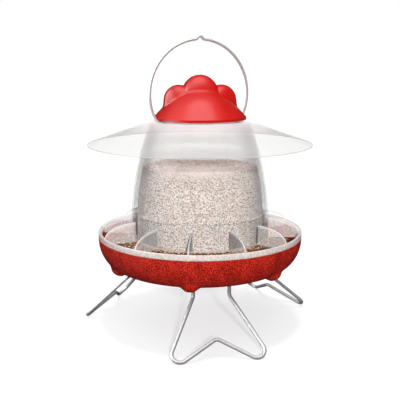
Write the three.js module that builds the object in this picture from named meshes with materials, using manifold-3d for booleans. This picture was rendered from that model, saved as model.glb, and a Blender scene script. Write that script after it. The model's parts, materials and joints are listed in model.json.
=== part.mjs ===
// Gravity poultry feeder: a dished tray on three wire legs, an anti-waste grille, a clear hopper
// full of feed, a wide clear rain shade, a dome lid with a comb on top, and a wire bail.
// Millimetres, +Z up. The origin is on the vertical axis, on the floor. One leg points along -Y.

import * as THREE from "three";
import { mergeVertices } from "three/addons/utils/BufferGeometryUtils.js";
import Module from "manifold-3d";

const wasm = await Module();
wasm.setup();

// ---- driving dimensions ----

const touchGap = 0.3; // between pieces that touch on the real object
const roundSteps = 40; // steps around a revolved piece

// Tray
const trayRadius = 160;
const trayTopZ = 141.5;
const trayBottomZ = 92.2;
const trayFloorRadius = 111.4;
const trayWall = 2.5;
const trayCurve = 2.6; // how square the bowl's corner is
const trayWallSteps = 7;
const coneRadius = 68; // spreader cone in the middle of the tray
const coneTopZ = 128;
const footRadius = 136; // ring of short feet under the tray
const footBottomZ = 90;
const footCount = 6;
const footFirstAngle = -15;

// Grille
const rimTopZ = 150.4;
const rimInnerRadius = 154.6;
const skirtBottomZ = 134;
const collarRadius = 108.5;
const collarWall = 2.1;
const collarTopZ = 179;
const grilleBottomZ = 139.5;
const finCount = 12;
const finFirstAngle = 15;
const finThickness = 1.8;
const finTopZ = 170;
const finOuterZ = 148;

// Bayonet between collar and hopper
const lockCount = 3;
const ledgeReach = 2.2;
const ledgeSpan = 25; // degrees
const ledgeZ = [150, 152.5];
const lugSpan = 20; // degrees
const lugZ = [146.5, 149.5];
const lugRadius = 105.8;

// Hopper
const hopperWall = 2.6;
const spigotRadius = 103.6;
const spigotBottomZ = 141;
const hopperSeatZ = collarTopZ + 0.6;
const beadRadius = 107.6;
const bodyBottomZ = 184;
const bodyTopZ = 316;
const bodyBottomRadius = 106.4;
const bodyTopRadius = 78;
const bodyBulge = 3.8;
const bodySteps = 6;
const shoulderZ = 318.4;
const neckRadius = 64.5;
const neckTopZ = 331.3;

// Rain shade
const shadeRadius = 173.2;
const shadeRimZ = 286.5;
const shadeCreaseRadius = 76;
const shadeTopZ = 320.9;
const shadeHoleRadius = 69;
const shadeThickness = 2;

// Lid
const lidRadius = 71.1;
const lidEdgeZ = 326.4;
const lidFlareZ = 327.4;
const lidTopZ = 370;
const domeRadius = 72;
const domeEdge = 52; // where the dome turns into the straight flare
const lidWall = 2;
const plugRadius = 61.6;
const plugBottomZ = 327.5;
const combLobes = [
  { x: -33, z: 353, radius: 23 },
  { x: 0, z: 363, radius: 27.8 },
  { x: 33, z: 353, radius: 23 },
];
const combHalfLength = 55.9;
const combHalfWidth = 26.5;
const combBaseZ = 344;

// Bail
const bailWire = 2; // wire radius
const bailRadius = 82;
const bailCentreZ = 361.6;
const bailPivotZ = 323.5;
const bailCornerU = 72.8;
const bailEndU = 59;
const bailTurn = 16; // degrees from +X to the bail's plane
const bailHole = 2.5;
const kinkHalfWidth = 7.5;
const kinkZ = 448.5;

// Legs
const legWire = 2.75; // wire radius
const legCount = 3;
const legStubRadius = 106.2;
const legStubSide = 26.8;
const legKnee = 72.3;
const legToe = { out: 188.4, side: 82.8, z: -12 }; // where the straight runs would cross
const legNotchZ = 24.8;
const socketTopZ = 114;
const socketRadius = 5.8;
const stubTopZ = 110;

// Feed
const feedTopZ = 252;
const feedInset = 6.2; // from the hopper's outside
const feedBottomZ = 116.5;
const feedEdge = [150.5, 119];

// ---- finishes ----

const redPebbled = { color: 0xb5130f, roughness: 0.45, metalness: 0 };
const redGloss = { color: 0xe01c1c, roughness: 0.2, metalness: 0 };
const clear = { color: 0xe4eaea, roughness: 0.25, metalness: 0, transparent: true, opacity: 0.35 };
const wireSteel = { color: 0xb9bcbf, roughness: 0.25, metalness: 1 };
const grain = { color: 0xb59c84, roughness: 0.8, metalness: 0 };

// ---- helpers ----

const radians = (degrees) => (degrees * Math.PI) / 180;

// Twice-used vertices become one, flat triangles go, and the faces are turned to point out.
function weld(geometry) {
  const bare = geometry.clone();
  bare.deleteAttribute("normal");
  bare.deleteAttribute("uv");
  const merged = mergeVertices(bare, 1e-4);
  const place = merged.attributes.position;
  const corners = [];
  let volume = 0;
  for (let i = 0; i < merged.index.count; i += 3) {
    const [a, b, c] = [0, 1, 2].map((k) => merged.index.getX(i + k));
    if (a === b || b === c || c === a) continue;
    const [p, q, r] = [a, b, c].map((k) => new THREE.Vector3().fromBufferAttribute(place, k));
    volume += p.dot(q.cross(r));
    corners.push(a, b, c);
  }
  merged.setIndex(volume < 0 ? corners.reverse() : corners);
  return merged;
}

function toSolid(geometry) {
  const welded = weld(geometry);
  return new wasm.Manifold(
    new wasm.Mesh({
      numProp: 3,
      vertProperties: new Float32Array(welded.attributes.position.array),
      triVerts: new Uint32Array(welded.index.array),
    }),
  );
}

function fromSolid(solid) {
  const mesh = solid.getMesh();
  const geometry = new THREE.BufferGeometry();
  geometry.setAttribute("position", new THREE.BufferAttribute(mesh.vertProperties, 3));
  geometry.setIndex(new THREE.BufferAttribute(mesh.triVerts, 1));
  return geometry;
}

// A closed outline of [radius, z] points turned about the Z axis.
function revolve(outline, steps = roundSteps) {
  const points = outline.map(([radius, z]) => new THREE.Vector2(radius, z));
  return new THREE.LatheGeometry(points, steps).rotateX(Math.PI / 2);
}

const closeLoop = (outline) => [...outline, outline[0]];

// A block with two round sides, centred on an angle about the Z axis.
function ringSector(innerRadius, outerRadius, [lowZ, highZ], centre, span) {
  const start = radians(centre - span / 2);
  const end = radians(centre + span / 2);
  const shape = new THREE.Shape();
  shape.absarc(0, 0, outerRadius, start, end, false);
  shape.absarc(0, 0, innerRadius, end, start, true);
  const options = { depth: highZ - lowZ, bevelEnabled: false, curveSegments: 2 };
  return new THREE.ExtrudeGeometry(shape, options).translate(0, 0, lowZ);
}

function post(radius, lowZ, highZ, x, y, steps = 16) {
  const cylinder = new THREE.CylinderGeometry(radius, radius, highZ - lowZ, steps);
  return cylinder.rotateX(Math.PI / 2).translate(x, y, (lowZ + highZ) / 2);
}

// A route that goes from point to point, with one extrusion step for each.
class Route extends THREE.Curve {
  constructor(points) {
    super();
    this.points = points;
  }
  getPoint(t, target = new THREE.Vector3()) {
    const last = this.points.length - 1;
    const place = Math.min(Math.max(t, 0), 1) * last;
    const first = Math.min(Math.floor(place), last - 1);
    return target.lerpVectors(this.points[first], this.points[first + 1], place - first);
  }
  getPointAt(u, target) {
    return this.getPoint(u, target);
  }
  getTangentAt(u, target = new THREE.Vector3()) {
    const last = this.points.length - 1;
    const index = Math.round(u * last);
    const before = this.points[Math.max(index - 1, 0)];
    const here = this.points[index];
    const after = this.points[Math.min(index + 1, last)];
    const arriving = here.clone().sub(before).normalize();
    const leaving = after.clone().sub(here).normalize();
    return target.addVectors(arriving, leaving).normalize();
  }
}

// Straight runs between corners, with each inner corner turned into an arc of its radius.
function roundedPath(corners, bends, stepAngle = 18) {
  const path = [corners[0]];
  for (let i = 1; i < corners.length - 1; i += 1) {
    const back = corners[i - 1].clone().sub(corners[i]).normalize();
    const ahead = corners[i + 1].clone().sub(corners[i]).normalize();
    const between = back.angleTo(ahead);
    const middle = back.clone().add(ahead).normalize();
    const centre = corners[i].clone().addScaledVector(middle, bends[i - 1] / Math.sin(between / 2));
    const touch = bends[i - 1] / Math.tan(between / 2);
    const from = corners[i].clone().addScaledVector(back, touch).sub(centre);
    const to = corners[i].clone().addScaledVector(ahead, touch).sub(centre);
    const axis = from.clone().cross(to).normalize();
    const turn = Math.PI - between;
    const steps = Math.max(2, Math.ceil(turn / radians(stepAngle)));
    for (let k = 0; k <= steps; k += 1) {
      path.push(from.clone().applyAxisAngle(axis, (turn * k) / steps).add(centre));
    }
  }
  path.push(corners[corners.length - 1]);
  return path;
}

function wire(points, radius) {
  const section = new THREE.Shape();
  section.absarc(0, 0, radius, 0, 2 * Math.PI, false);
  const route = new Route(points);
  const options = { steps: points.length - 1, extrudePath: route, curveSegments: 4 };
  return new THREE.ExtrudeGeometry(section, { ...options, bevelEnabled: false });
}

const feeder = new THREE.Group();

function addPiece(name, geometry, finish) {
  const mesh = new THREE.Mesh(geometry, new THREE.MeshStandardMaterial(finish));
  mesh.geometry.computeVertexNormals();
  mesh.name = name;
  feeder.add(mesh);
  return mesh;
}

// ---- tray ----

// The bowl's wall: a superellipse quarter from the floor's edge to the rim.
function bowlWall(floorRadius, rimRadius, floorZ) {
  const points = [];
  for (let i = 0; i <= trayWallSteps; i += 1) {
    const drop = Math.sin((i / trayWallSteps) * (Math.PI / 2));
    const reach = (1 - drop * drop) ** (1 / trayCurve);
    points.push([
      floorRadius + (rimRadius - floorRadius) * reach,
      trayTopZ - (trayTopZ - floorZ) * drop,
    ]);
  }
  return points;
}

function makeTray() {
  const floorZ = trayBottomZ + trayWall;
  const outside = bowlWall(trayFloorRadius, trayRadius, trayBottomZ);
  const inside = bowlWall(trayFloorRadius - 1.6, trayRadius - trayWall, floorZ);
  const coneUnder = [[coneRadius - 3, trayBottomZ], [0, coneTopZ - 3.2]];
  const coneOver = [[0, coneTopZ], [coneRadius, floorZ]];
  const shell = toSolid(revolve([...coneOver, ...inside.reverse(), ...outside, ...coneUnder]));
  const roomTop = [[trayRadius, trayTopZ + 1], [0, trayTopZ + 1]];
  const room = toSolid(revolve([...coneOver, ...inside, ...roomTop]));

  const footOutline = [
    [0, footBottomZ], [4.5, footBottomZ], [8, 91.2], [10.5, 94], [12.5, 98], [14.5, 104], [0, 104],
  ];
  let feet = null;
  for (let i = 0; i < footCount; i += 1) {
    const angle = radians(footFirstAngle + (i * 360) / footCount - 90);
    const [x, y] = [footRadius * Math.cos(angle), footRadius * Math.sin(angle)];
    const foot = toSolid(revolve(footOutline, 12).translate(x, y, 0));
    feet = feet ? feet.add(foot) : foot;
  }
  let tray = shell.add(feet.subtract(room));
  for (const [x, y] of stubPlaces()) {
    tray = tray.add(toSolid(post(socketRadius, trayBottomZ + 0.5, socketTopZ, x, y, 12)));
    const bore = post(legWire + touchGap, trayBottomZ - 1, socketTopZ - trayWall, x, y, 12);
    tray = tray.subtract(toSolid(bore));
  }
  return fromSolid(tray);
}

// Where the six leg ends go up into the tray.
function stubPlaces() {
  const places = [];
  for (let i = 0; i < legCount; i += 1) {
    const turn = radians((i * 360) / legCount);
    for (const side of [-legStubSide, legStubSide]) {
      places.push([
        side * Math.cos(turn) + legStubRadius * Math.sin(turn),
        side * Math.sin(turn) - legStubRadius * Math.cos(turn),
      ]);
    }
  }
  return places;
}

// ---- legs ----

// A bent wire in the shape of a W that leans outward, with two upright ends.
function makeLeg(turn) {
  const corner = (out, side, z) => new THREE.Vector3(side, -out, z);
  const lean = (legKnee - legNotchZ) / (legKnee - legToe.z);
  const notchOut = legStubRadius + lean * (legToe.out - legStubRadius);
  const corners = [
    corner(legStubRadius, -legStubSide, stubTopZ),
    corner(legStubRadius, -legStubSide, legKnee),
    corner(legToe.out, -legToe.side, legToe.z),
    corner(notchOut, 0, legNotchZ),
    corner(legToe.out, legToe.side, legToe.z),
    corner(legStubRadius, legStubSide, legKnee),
    corner(legStubRadius, legStubSide, stubTopZ),
  ];
  const path = roundedPath(corners, [8, 11.8, 9, 11.8, 8]);
  const lift = legWire - Math.min(...path.map((point) => point.z));
  for (const point of path.slice(1, -1)) point.z += lift;
  return wire(path, legWire).rotateZ(turn);
}

// ---- grille ----

function makeRim() {
  const shoulderUnder = trayTopZ + touchGap;
  const skirtOuter = trayRadius - trayWall - 0.8;
  const bead = 2.2;
  const outline = [
    [trayRadius, shoulderUnder],
    [trayRadius, rimTopZ - bead],
    [trayRadius - 0.65, rimTopZ - 0.65],
    [trayRadius - bead, rimTopZ],
    [rimInnerRadius + 1.6, rimTopZ],
    [rimInnerRadius + 0.4, rimTopZ - 0.5],
    [rimInnerRadius, rimTopZ - 1.6],
    [rimInnerRadius - 0.4, skirtBottomZ],
    [skirtOuter - 0.5, skirtBottomZ],
    [skirtOuter, shoulderUnder],
  ];
  return weld(revolve(closeLoop(outline)));
}

function makeCollar() {
  const inner = collarRadius - collarWall;
  const outline = [
    [collarRadius, grilleBottomZ],
    [collarRadius, collarTopZ - 0.6],
    [collarRadius - 0.6, collarTopZ],
    [inner, collarTopZ],
    [inner, grilleBottomZ],
  ];
  let collar = toSolid(revolve(closeLoop(outline)));
  for (let i = 0; i < lockCount; i += 1) {
    const angle = (i * 360) / lockCount;
    const ledge = ringSector(inner - ledgeReach, inner + 0.5, ledgeZ, angle, ledgeSpan);
    collar = collar.add(toSolid(ledge));
  }
  return fromSolid(collar);
}

// A thin upright plate whose top edge is a quarter ellipse from the collar down to the rim.
function makeFin(angle) {
  const inner = collarRadius + touchGap;
  const outer = rimInnerRadius - 0.4 - touchGap;
  const fallRadius = 49;
  const shape = new THREE.Shape();
  shape.moveTo(inner, grilleBottomZ);
  shape.lineTo(outer, grilleBottomZ);
  for (let i = 9; i >= 0; i -= 1) {
    const radius = inner + ((outer - inner) * Math.sin((i / 9) * (Math.PI / 2)));
    const fall = (radius - inner) / fallRadius;
    shape.lineTo(radius, finOuterZ + (finTopZ - finOuterZ) * Math.sqrt(1 - fall * fall));
  }
  const plate = new THREE.ExtrudeGeometry(shape, { depth: finThickness, bevelEnabled: false });
  plate.translate(0, 0, -finThickness / 2).rotateX(Math.PI / 2);
  return plate.rotateZ(radians(angle));
}

// ---- hopper ----

// Outer radius of the hopper's body: a straight taper with a slight bulge.
function bodyRadius(z) {
  const t = (z - bodyBottomZ) / (bodyTopZ - bodyBottomZ);
  return bodyBottomRadius + (bodyTopRadius - bodyBottomRadius) * t + 4 * bodyBulge * t * (1 - t);
}

function makeHopper() {
  const outside = [];
  const inside = [];
  for (let i = 0; i <= bodySteps; i += 1) {
    const z = bodyBottomZ + ((bodyTopZ - bodyBottomZ) * i) / bodySteps;
    outside.push([bodyRadius(z), z]);
    inside.unshift([bodyRadius(z) - hopperWall, z - (i === bodySteps ? 1.4 : 0)]);
  }
  const outline = [
    [spigotRadius, spigotBottomZ],
    [spigotRadius, hopperSeatZ],
    [beadRadius, hopperSeatZ],
    [beadRadius, hopperSeatZ + 2.6],
    ...outside,
    [bodyTopRadius - 1.2, shoulderZ - 0.9],
    [bodyTopRadius - 3.6, shoulderZ],
    [neckRadius, shoulderZ],
    [neckRadius, neckTopZ],
    [neckRadius - 2.2, neckTopZ],
    [neckRadius - 2.2, shoulderZ - 2.4],
    ...inside,
    [spigotRadius - hopperWall, hopperSeatZ - 2],
    [spigotRadius - hopperWall, spigotBottomZ],
  ];
  let hopper = toSolid(revolve(closeLoop(outline)));
  for (let i = 0; i < lockCount; i += 1) {
    const lug = ringSector(spigotRadius - 0.5, lugRadius, lugZ, (i * 360) / lockCount, lugSpan);
    hopper = hopper.add(toSolid(lug));
  }
  const bore = new THREE.CylinderGeometry(bailHole, bailHole, 3 * neckRadius, 16);
  bore.rotateZ(Math.PI / 2).rotateZ(radians(bailTurn)).translate(0, 0, bailPivotZ);
  return fromSolid(hopper.subtract(toSolid(bore)));
}

// ---- rain shade ----

function makeShade() {
  const slope = (shadeTopZ - shadeRimZ) / (shadeRadius - shadeCreaseRadius);
  const drop = shadeThickness * Math.hypot(1, slope);
  const outline = [
    [shadeRadius, shadeRimZ - 0.5],
    [shadeRadius - 0.5, shadeRimZ + 0.3],
    [shadeCreaseRadius + 2, shadeTopZ - 0.6],
    [shadeCreaseRadius - 1, shadeTopZ],
    [shadeHoleRadius, shadeTopZ],
    [shadeHoleRadius, shadeTopZ - shadeThickness],
    [shadeCreaseRadius - 1.4, shadeTopZ - shadeThickness],
    [shadeCreaseRadius + 1.6, shadeTopZ - drop - 0.5],
    [shadeRadius - 0.8, shadeRimZ - drop + 0.3],
    [shadeRadius - 0.1, shadeRimZ - drop + 0.5],
  ];
  return weld(revolve(closeLoop(outline)));
}

// ---- lid ----

// Outer outline of the dome, from the top to the edge, set in by some depth all over.
function domeOutline(inset) {
  const centreZ = lidTopZ - domeRadius;
  const radius = domeRadius - inset;
  const lastAngle = Math.asin(domeEdge / domeRadius);
  const points = [];
  for (let i = 0; i <= 8; i += 1) {
    const angle = (lastAngle * i) / 8;
    points.push([radius * Math.sin(angle), centreZ + radius * Math.cos(angle)]);
  }
  points.push([lidRadius - 1.45 * inset, lidFlareZ]);
  return points;
}

// The comb: upright slices along X. Each slice is a superellipse arch that is as tall as the
// lobes' circles there, and as wide as an oval plan.
function combShape(inset) {
  const slices = 20;
  const archSteps = 10;
  const halfLength = combHalfLength - inset;
  const rings = [];
  for (let i = 0; i <= slices; i += 1) {
    const x = halfLength * Math.sin(((i / slices) * 2 - 1) * (Math.PI / 2));
    const heights = combLobes.map((lobe) => {
      const reach = (lobe.radius - inset) ** 2 - (x - lobe.x) ** 2;
      return lobe.z + Math.sqrt(Math.max(reach, 0));
    });
    const inLobe = combLobes.map((lobe) => Math.abs(x - lobe.x) <= lobe.radius - inset);
    const height = Math.max(...heights.filter((_, k) => inLobe[k]), combLobes[0].z);
    const width = (combHalfWidth - inset) * Math.sqrt(1 - (x / (halfLength + 4)) ** 2);
    const ring = [];
    for (let k = 0; k <= archSteps; k += 1) {
      const angle = (k / archSteps) * Math.PI;
      const across = Math.sign(Math.cos(angle)) * Math.abs(Math.cos(angle)) ** 0.8;
      const up = Math.sin(angle) ** 0.8;
      ring.push([x, width * across, combBaseZ + (height - combBaseZ) * up]);
    }
    rings.push(ring);
  }
  const across = archSteps + 1;
  const corners = [];
  for (let i = 0; i < slices; i += 1) {
    for (let k = 0; k < across; k += 1) {
      const [a, b] = [i * across + k, i * across + ((k + 1) % across)];
      corners.push(a, b, b + across, a, b + across, a + across);
    }
  }
  const lastRing = slices * across;
  for (let k = 1; k < archSteps; k += 1) {
    corners.push(0, k + 1, k, lastRing, lastRing + k, lastRing + k + 1);
  }
  const geometry = new THREE.BufferGeometry();
  const places = new Float32Array(rings.flat(2));
  geometry.setAttribute("position", new THREE.BufferAttribute(places, 3));
  geometry.setIndex(corners);
  return geometry;
}

function makeLid() {
  const domeFloor = [[0, lidEdgeZ]];
  const outer = [...domeOutline(0), [lidRadius, lidEdgeZ], ...domeFloor];
  const innerEdge = [lidRadius - 1.45 * lidWall, lidEdgeZ - 1];
  const inner = [...domeOutline(lidWall), innerEdge, [0, lidEdgeZ - 1]];
  const body = toSolid(revolve(outer)).add(toSolid(combShape(0)));
  const hollow = toSolid(revolve(inner)).add(toSolid(combShape(lidWall)));
  const plug = [
    [plugRadius, plugBottomZ], [plugRadius, 335.4],
    [plugRadius - lidWall, 336.6], [plugRadius - lidWall, plugBottomZ],
  ];
  return fromSolid(body.subtract(hollow).add(toSolid(revolve(closeLoop(plug)))));
}

// ---- bail ----

// A round arch of wire with a small hanging kink at the top. Its ends turn in to the pivot.
function makeBail() {
  const turn = radians(bailTurn);
  const place = (u, z) => new THREE.Vector3(u * Math.cos(turn), u * Math.sin(turn), z);
  const archAngle = Math.asin((bailPivotZ + 5 - bailCentreZ) / bailRadius);
  const kinkAngle = Math.acos(kinkHalfWidth / bailRadius);
  const arch = [];
  const archSteps = 12;
  for (let i = 0; i <= archSteps; i += 1) {
    const angle = archAngle + ((kinkAngle - archAngle) * i) / archSteps;
    arch.push([bailRadius * Math.cos(angle), bailCentreZ + bailRadius * Math.sin(angle)]);
  }
  const right = [place(bailEndU, bailPivotZ), place(bailCornerU, bailPivotZ)];
  right.push(...arch.map(([u, z]) => place(u, z)));
  const left = [...arch].reverse().map(([u, z]) => place(-u, z));
  left.push(place(-bailCornerU, bailPivotZ), place(-bailEndU, bailPivotZ));

  const start = roundedPath(right.slice(0, 3), [3.5]).slice(0, -1);
  const topCorners = [arch[archSteps - 1], arch[archSteps], [0, kinkZ]].map(([u, z]) => place(u, z));
  topCorners.push(place(-arch[archSteps][0], arch[archSteps][1]));
  topCorners.push(place(-arch[archSteps - 1][0], arch[archSteps - 1][1]));
  const kink = roundedPath(topCorners, [3, 3.2, 3], 24).slice(1, -1);
  const end = roundedPath(left.slice(-3), [3.5]).slice(1);
  const rise = right.slice(2, -1);
  const fall = left.slice(1, -2);
  return wire([...start, ...rise, ...kink, ...fall, ...end], bailWire);
}

// ---- feed ----

// The column of grain in the hopper and the heap that has run out into the trough.
function makeFeed() {
  const wall = [];
  for (let i = 0; i <= 4; i += 1) {
    const z = feedTopZ - 1.5 - ((feedTopZ - 1.5 - bodyBottomZ) * i) / 4;
    wall.push([bodyRadius(z) - feedInset, z]);
  }
  const columnRadius = spigotRadius - hopperWall - 1.5;
  const outline = [
    [0, feedTopZ + 1.5],
    [50, feedTopZ + 1],
    ...wall,
    [columnRadius, hopperSeatZ - 3],
    [columnRadius, spigotBottomZ - 0.6],
    [collarRadius - 5, grilleBottomZ],
    [collarRadius, grilleBottomZ - 1.5],
    feedEdge,
    [feedEdge[0], feedBottomZ],
    [36, feedBottomZ],
    [12, coneTopZ + 2.5],
    [0, coneTopZ + 2.5],
  ];
  return weld(revolve(outline));
}

// ---- assembly ----

addPiece("tray", makeTray(), redPebbled);
addPiece("grille_rim", makeRim(), clear);
addPiece("grille_collar", makeCollar(), clear);
for (let i = 0; i < finCount; i += 1) {
  const name = `grille_fin_${String(i + 1).padStart(2, "0")}`;
  addPiece(name, makeFin(finFirstAngle - 90 + (i * 360) / finCount), clear);
}
["leg_front", "leg_right", "leg_left"].forEach((name, i) => {
  addPiece(name, makeLeg((i * 2 * Math.PI) / legCount), wireSteel);
});
addPiece("hopper", makeHopper(), clear);
addPiece("rain_shade", makeShade(), clear);
addPiece("lid", makeLid(), redGloss);
addPiece("bail", makeBail(), wireSteel);
addPiece("feed_fill", makeFeed(), grain);

export default feeder;
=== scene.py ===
import json
import math
import bpy
import numpy as np
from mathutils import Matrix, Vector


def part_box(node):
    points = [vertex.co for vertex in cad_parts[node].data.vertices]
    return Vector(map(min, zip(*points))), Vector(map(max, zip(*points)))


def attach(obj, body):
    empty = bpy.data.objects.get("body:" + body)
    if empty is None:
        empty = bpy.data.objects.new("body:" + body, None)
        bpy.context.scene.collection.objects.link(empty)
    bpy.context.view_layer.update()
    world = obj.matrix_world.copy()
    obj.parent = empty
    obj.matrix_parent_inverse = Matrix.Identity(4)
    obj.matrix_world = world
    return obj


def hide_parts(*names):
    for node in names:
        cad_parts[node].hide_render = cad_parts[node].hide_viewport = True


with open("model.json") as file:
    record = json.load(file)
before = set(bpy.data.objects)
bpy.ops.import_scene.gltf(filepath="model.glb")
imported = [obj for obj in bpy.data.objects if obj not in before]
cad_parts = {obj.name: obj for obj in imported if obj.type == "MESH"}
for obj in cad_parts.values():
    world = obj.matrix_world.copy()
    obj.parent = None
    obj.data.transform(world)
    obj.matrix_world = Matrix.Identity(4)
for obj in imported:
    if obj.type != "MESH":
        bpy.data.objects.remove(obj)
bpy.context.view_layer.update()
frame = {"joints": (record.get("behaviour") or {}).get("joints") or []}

# Gravity poultry feeder. Shapes are worked out in millimetres and scaled once, in makePiece.

mm = 0.001
scene = bpy.context.scene
rng = np.random.default_rng(11)


def boxMm(node):
    low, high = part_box(node)
    return np.array(low) / mm, np.array(high) / mm


trayHigh = boxMm("tray")[1]
rimLow, rimHigh = boxMm("grille_rim")
collarLow, collarHigh = boxMm("grille_collar")
hopperLow, hopperHigh = boxMm("hopper")
shadeHigh = boxMm("rain_shade")[1]
lidLow, lidHigh = boxMm("lid")
legLow, legHigh = boxMm("leg_front")
feedLow = boxMm("feed_fill")[0]
joints = {joint["name"]: joint for joint in frame["joints"]}
print("frame loaded")


cameraSettings = {
    "turn": -9.0,  # degrees from -Y toward +X
    "distance": 1.1207,
    "height": 0.4235,
    "pitch": 11.4765,
    "lens": 65.29,
    "sensor": 36,
}


def makeCamera():
    # on a circle round the axis, tilted down by the pitch
    s = cameraSettings
    data = bpy.data.cameras.new("camera")
    data.lens = s["lens"]
    data.sensor_width = s["sensor"]
    camera = bpy.data.objects.new("camera", data)
    scene.collection.objects.link(camera)
    turn = math.radians(s["turn"])
    camera.location = (s["distance"] * math.sin(turn), -s["distance"] * math.cos(turn), s["height"])
    camera.rotation_euler = (math.radians(90 - s["pitch"]), 0, turn)
    scene.camera = camera


makeCamera()


class Signal:  # one output socket, so that sums of shader values can be written plainly
    def __init__(self, socket):
        self.socket = socket

    def take(self, name):  # another output of the same node, by name or number
        return Signal(self.socket.node.outputs[name])

    def math(self, operation, other=None, reflected=False):
        tree = self.socket.id_data
        node = tree.nodes.new("ShaderNodeMath")
        node.operation = operation
        first, second = (1, 0) if reflected else (0, 1)
        tree.links.new(self.socket, node.inputs[first])
        if isinstance(other, Signal):
            tree.links.new(other.socket, node.inputs[second])
        elif other is not None:
            node.inputs[second].default_value = other
        return Signal(node.outputs[0])

    def __add__(self, other):
        return self.math("ADD", other)

    def __sub__(self, other):
        return self.math("SUBTRACT", other)

    def __rsub__(self, other):
        return self.math("SUBTRACT", other, True)

    def __mul__(self, other):
        return self.math("MULTIPLY", other)

    def __truediv__(self, other):
        return self.math("DIVIDE", other)

    __radd__ = __add__
    __rmul__ = __mul__

    def bounded(self):
        self.socket.node.use_clamp = True
        return self


class Nodes:  # one node tree, of a material or of the world
    def __init__(self, tree):
        self.tree = tree
        tree.nodes.clear()

    def node(self, kind, settings=None, values=None):
        made = self.tree.nodes.new(kind)
        for key, value in (settings or {}).items():
            if key == "stops":
                self.setStops(made.color_ramp, value)
            else:
                setattr(made, key, value)
        for key, value in (values or {}).items():
            if isinstance(value, Signal):
                self.tree.links.new(value.socket, made.inputs[key])
            else:
                made.inputs[key].default_value = value
        shown = [socket for socket in made.outputs if socket.enabled]
        return Signal(shown[0]) if shown else None

    def setStops(self, ramp, stops):
        while len(ramp.elements) > 1:
            ramp.elements.remove(ramp.elements[-1])
        ramp.elements[0].position, ramp.elements[0].color = stops[0][0], (*stops[0][1], 1)
        for position, colour in stops[1:]:
            ramp.elements.new(position).color = (*colour, 1)


class Finish(Nodes):  # one material
    def __init__(self, name):
        self.material = bpy.data.materials.new(name)
        self.material.use_nodes = True
        super().__init__(self.material.node_tree)
        self.place = self.node("ShaderNodeTexCoord").take("Object")

    def noise(self, scale, detail=2.0, rough=0.5, at=None):
        values = {"Vector": at or self.place, "Scale": scale, "Detail": detail, "Roughness": rough}
        return self.node("ShaderNodeTexNoise", {}, values)

    def cells(self, scale):
        return self.node("ShaderNodeTexVoronoi", {}, {"Vector": self.place, "Scale": scale})

    def stretched(self, x, y, z):
        values = {"Vector": self.place, "Scale": (x, y, z)}
        return self.node("ShaderNodeMapping", {}, values)

    def flattened(self):
        return self.multiplied(self.place, (1, 1, 0))

    def ramp(self, signal, stops):
        return self.node("ShaderNodeValToRGB", {"stops": stops}, {"Fac": signal})

    def mixed(self, factor, first, second):
        # a colour Mix node: its colours are inputs 6 and 7, and its colour result is output 2
        pair = [side if isinstance(side, Signal) else (*side, 1) for side in (first, second)]
        made = self.node("ShaderNodeMix", {"data_type": "RGBA"}, {0: factor, 6: pair[0], 7: pair[1]})
        return made.take(2)

    def multiplied(self, first, second):
        return self.node("ShaderNodeVectorMath", {"operation": "MULTIPLY"}, {0: first, 1: second})

    def bump(self, height, distance, strength=1.0):
        values = {"Height": height, "Distance": distance, "Strength": strength}
        return self.node("ShaderNodeBump", {}, values)

    def done(self, values):
        shader = self.node("ShaderNodeBsdfPrincipled", {}, values)
        self.node("ShaderNodeOutputMaterial", {}, {"Surface": shader})
        return self.material


lightSettings = {
    "backdrop": 1.0,
    "bright": 1.35,
    "dark": 0.13,
    "darkAt": 0.55,  # where the sky's ramp starts and ends
    "brightAt": 0.84,
    "toward": (-0.26, -0.12, 0.958),  # the sky is brightest this way
    "mirrored": 0.35,  # share of the sky seen in reflections
    "suns": [  # name, turn from -Y toward +X, height and softness in degrees, strength
        ("front", -4, 20, 3.5, 3.08),
        ("above", 0, 89, 4.5, 1.22),
        ("back", 180, 14, 40, 1.3),
    ],
    "softboxes": [  # seen only in reflections
        ("boxAbove", -9, 74, 52, 1.45),
        ("boxLeft", -84, 24, 56, 3.7),
    ],
}


def makeLights():
    # a plain backdrop for the camera, and a soft sky that grows brighter toward one direction
    s = lightSettings
    world = bpy.data.worlds.new("studio")
    scene.world = world
    world.use_nodes = True
    nodes = Nodes(world.node_tree)
    direction = nodes.node("ShaderNodeTexCoord").take("Generated")
    toward = nodes.node("ShaderNodeVectorMath", {"operation": "DOT_PRODUCT"},
                        {0: direction, 1: s["toward"]})
    stops = [(s["darkAt"], (s["dark"],) * 3), (s["brightAt"], (s["bright"],) * 3)]
    colour = nodes.node("ShaderNodeValToRGB", {"stops": stops}, {"Fac": toward.take("Value")})
    path = nodes.node("ShaderNodeLightPath")
    strength = path.take("Is Glossy Ray") * (s["mirrored"] - 1) + 1
    sky = nodes.node("ShaderNodeBackground", {}, {"Color": colour, "Strength": strength})
    backdrop = nodes.node("ShaderNodeBackground", {}, {"Color": (1, 1, 1, 1), "Strength": s["backdrop"]})
    shown = nodes.node("ShaderNodeMixShader", {}, {0: path.take("Is Camera Ray"), 1: sky, 2: backdrop})
    nodes.node("ShaderNodeOutputWorld", {}, {"Surface": shown})
    for group in ("suns", "softboxes"):
        for name, turn, height, softness, strength in s[group]:
            data = bpy.data.lights.new(name, "SUN")
            data.energy = strength
            data.angle = math.radians(softness)
            lamp = bpy.data.objects.new(name, data)
            lamp.rotation_euler = (math.radians(90 - height), 0, math.radians(turn))
            lamp.visible_diffuse = group == "suns"
            lamp.visible_glossy = group == "softboxes"
            scene.collection.objects.link(lamp)
    scene.view_settings.view_transform = "Standard"
    scene.view_settings.look = "None"


makeLights()
print("camera and lights ready")


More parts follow.
